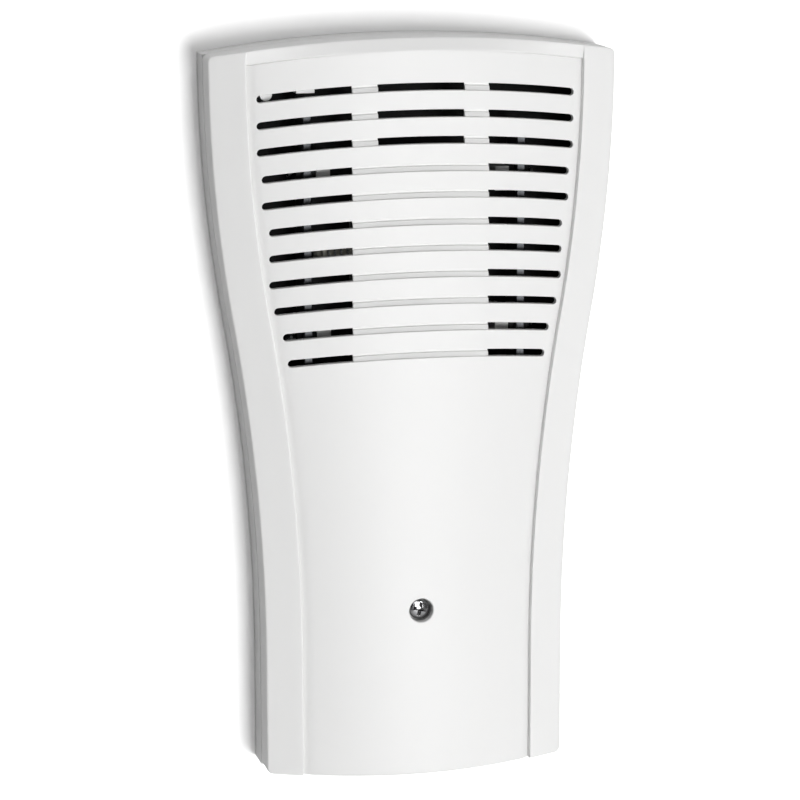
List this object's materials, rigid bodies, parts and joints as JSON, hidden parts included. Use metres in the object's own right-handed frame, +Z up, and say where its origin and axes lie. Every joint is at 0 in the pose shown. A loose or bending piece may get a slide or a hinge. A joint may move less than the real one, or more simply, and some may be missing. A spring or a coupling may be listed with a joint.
{
  "type": "doorbell sounder",
  "caption": "Wall-mounted electric door chime: a white moulded cover with arched sound slots over a solenoid whose plunger strikes two steel tone bars",
  "frame": {"origin": "middle of the back face, on the wall plane", "axes": "-Y is the front, away from the wall; +Z is up, along the longest side; X is across"},
  "size_m": [0.1106, 0.0245, 0.201],
  "materials": {
    "white_cover": "satin moulded",
    "white_base": "moulded",
    "screw_chrome": "plated",
    "brass": "turned",
    "zinc_steel": "zinc plated",
    "zinc_screw": "zinc plated",
    "bobbin_plastic": "moulded",
    "copper_winding": "enamelled copper wire",
    "core_steel": "turned",
    "striker_plastic": "moulded",
    "spring_steel": "drawn",
    "bar_steel": "nickel plated",
    "rubber": "moulded",
    "block_plastic": "moulded",
    "lead_cover": "extruded"
  },
  "bodies": {
    "housing": {"base": "white_base", "post_insert": "brass", "yoke": "zinc_steel", "yoke_screws": "zinc_screw", "bobbin": "bobbin_plastic", "coil": "copper_winding", "bar_pins": "core_steel", "pin_clips": "spring_steel", "entry_bush": "rubber", "cable_clamp": "white_base", "clamp_screws": "zinc_screw", "terminal_block": "block_plastic", "terminal_clamps": "brass", "terminal_screws": "zinc_screw", "block_screw": "zinc_screw", "coil_lead_left": "lead_cover", "coil_lead_right": "lead_cover"},
    "plunger": {"plunger_core": "core_steel", "striker_low": "striker_plastic", "striker_high": "striker_plastic", "return_spring": "spring_steel"},
    "low_bar": {"tone_bar_low": "bar_steel", "grommets_low": "rubber"},
    "high_bar": {"tone_bar_high": "bar_steel", "grommets_high": "rubber"},
    "front": {"cover": "white_cover"},
    "screw": {"cover_screw": "screw_chrome"}
  },
  "joints": [
    {"name": "plunger_slide", "type": "slide", "parent": "housing", "child": "plunger", "axis": [1, 0, 0], "range_m": [-0.00125, 0.006], "stiffness_N_per_m": 60, "deforming": ["return_spring"]},
    {"name": "low_bar_give", "type": "slide", "parent": "housing", "child": "low_bar", "axis": [-1, 0, 0], "range_m": [0, 0.0008], "stiffness_N_per_m": 500},
    {"name": "high_bar_give", "type": "slide", "parent": "housing", "child": "high_bar", "axis": [1, 0, 0], "range_m": [0, 0.0008], "stiffness_N_per_m": 500},
    {"name": "cover_off", "type": "slide", "parent": "housing", "child": "front", "axis": [0, -1, 0], "range_m": [0, 0.06]},
    {"name": "cover_screw_out", "type": "slide", "parent": "front", "child": "screw", "axis": [0, -1, 0], "range_m": [0, 0.01]}
  ]
}
